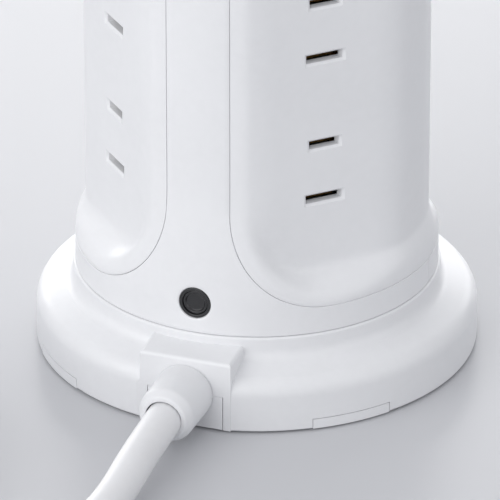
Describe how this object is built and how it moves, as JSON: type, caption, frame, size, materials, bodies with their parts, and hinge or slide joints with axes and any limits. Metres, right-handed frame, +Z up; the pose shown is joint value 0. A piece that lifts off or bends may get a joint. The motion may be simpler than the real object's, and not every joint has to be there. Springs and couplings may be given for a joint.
{
  "type": "power strip",
  "caption": "Tower power strip: round base, four-faced column of two-pin outlets, overload reset button, top rocker switch, mains cord in a coil.",
  "frame": {"origin": "centre of the underside, on the surface that the strip stands on", "axes": "+Z up along the column; the outlet faces look along -Y, +X, +Y and -X; the cord and the reset button are on the diagonal between -X and -Y"},
  "size_m": [0.2311, 0.1823, 0.1727],
  "materials": {
    "white_base": "satin moulded plastic",
    "white_shell": "satin moulded plastic",
    "white_cord_fitting": "soft satin moulded PVC",
    "white_cord": "satin PVC sheath",
    "tie": "soft matte",
    "feet": "matte",
    "screw_steel": "zinc plated",
    "blade_metal": "nickel plated brass",
    "black_plastic": "satin black",
    "rocker": "satin",
    "terminal_brass": "plain",
    "contact_brass": "plain",
    "inner_plastic": "matte",
    "wire_white": "satin PVC",
    "wire_black": "satin PVC"
  },
  "bodies": {
    "strip": {"base_screws": "screw_steel", "base_shell": "white_base", "bottom_plate": "white_base", "breaker_body": "black_plastic", "breaker_bushing": "black_plastic", "breaker_terminals": "terminal_brass", "cap_screws": "screw_steel", "carrier_screws": "screw_steel", "clamp_screws": "screw_steel", "column_screws": "screw_steel", "contact_carrier_back_left": "inner_plastic", "contact_carrier_back_right": "inner_plastic", "contact_carrier_front_left": "inner_plastic", "contact_carrier_front_right": "inner_plastic", "cord_clamp": "inner_plastic", "cord_coil": "white_cord", "cord_collar": "white_cord_fitting", "cord_tail": "white_cord", "cord_tie": "tie", "front_spine": "white_shell", "left_cover": "white_shell", "line_lead": "wire_black", "live_bus_back_left": "contact_brass", "live_bus_back_right": "contact_brass", "live_bus_front_left": "contact_brass", "live_bus_front_right": "contact_brass", "live_lead": "wire_black", "live_link": "wire_black", "neutral_bus_back_left": "contact_brass", "neutral_bus_back_right": "contact_brass", "neutral_bus_front_left": "contact_brass", "neutral_bus_front_right": "contact_brass", "neutral_lead": "wire_white", "neutral_link": "wire_white", "plug_blades": "blade_metal", "plug_body": "white_cord_fitting", "plug_relief": "white_cord_fitting", "power_cord": "white_cord", "rear_spine": "white_shell", "right_cover": "white_shell", "rubber_feet": "feet", "switch_housing": "black_plastic", "switch_lead": "wire_black", "switch_terminals": "terminal_brass", "top_cap": "white_shell"},
    "reset_button": {"reset_button": "black_plastic"},
    "switch_rocker": {"switch_rocker": "rocker"}
  },
  "joints": [
    {"name": "reset_slide", "type": "slide", "parent": "strip", "child": "reset_button", "axis": [-0.7071, -0.7071, 0], "range_m": [0, 0.0022]},
    {"name": "rocker_tilt", "type": "hinge", "parent": "strip", "child": "switch_rocker", "pos_m": [0, 0, 0.167], "axis": [0, 1, 0], "range_deg": [-16, 0]}
  ]
}
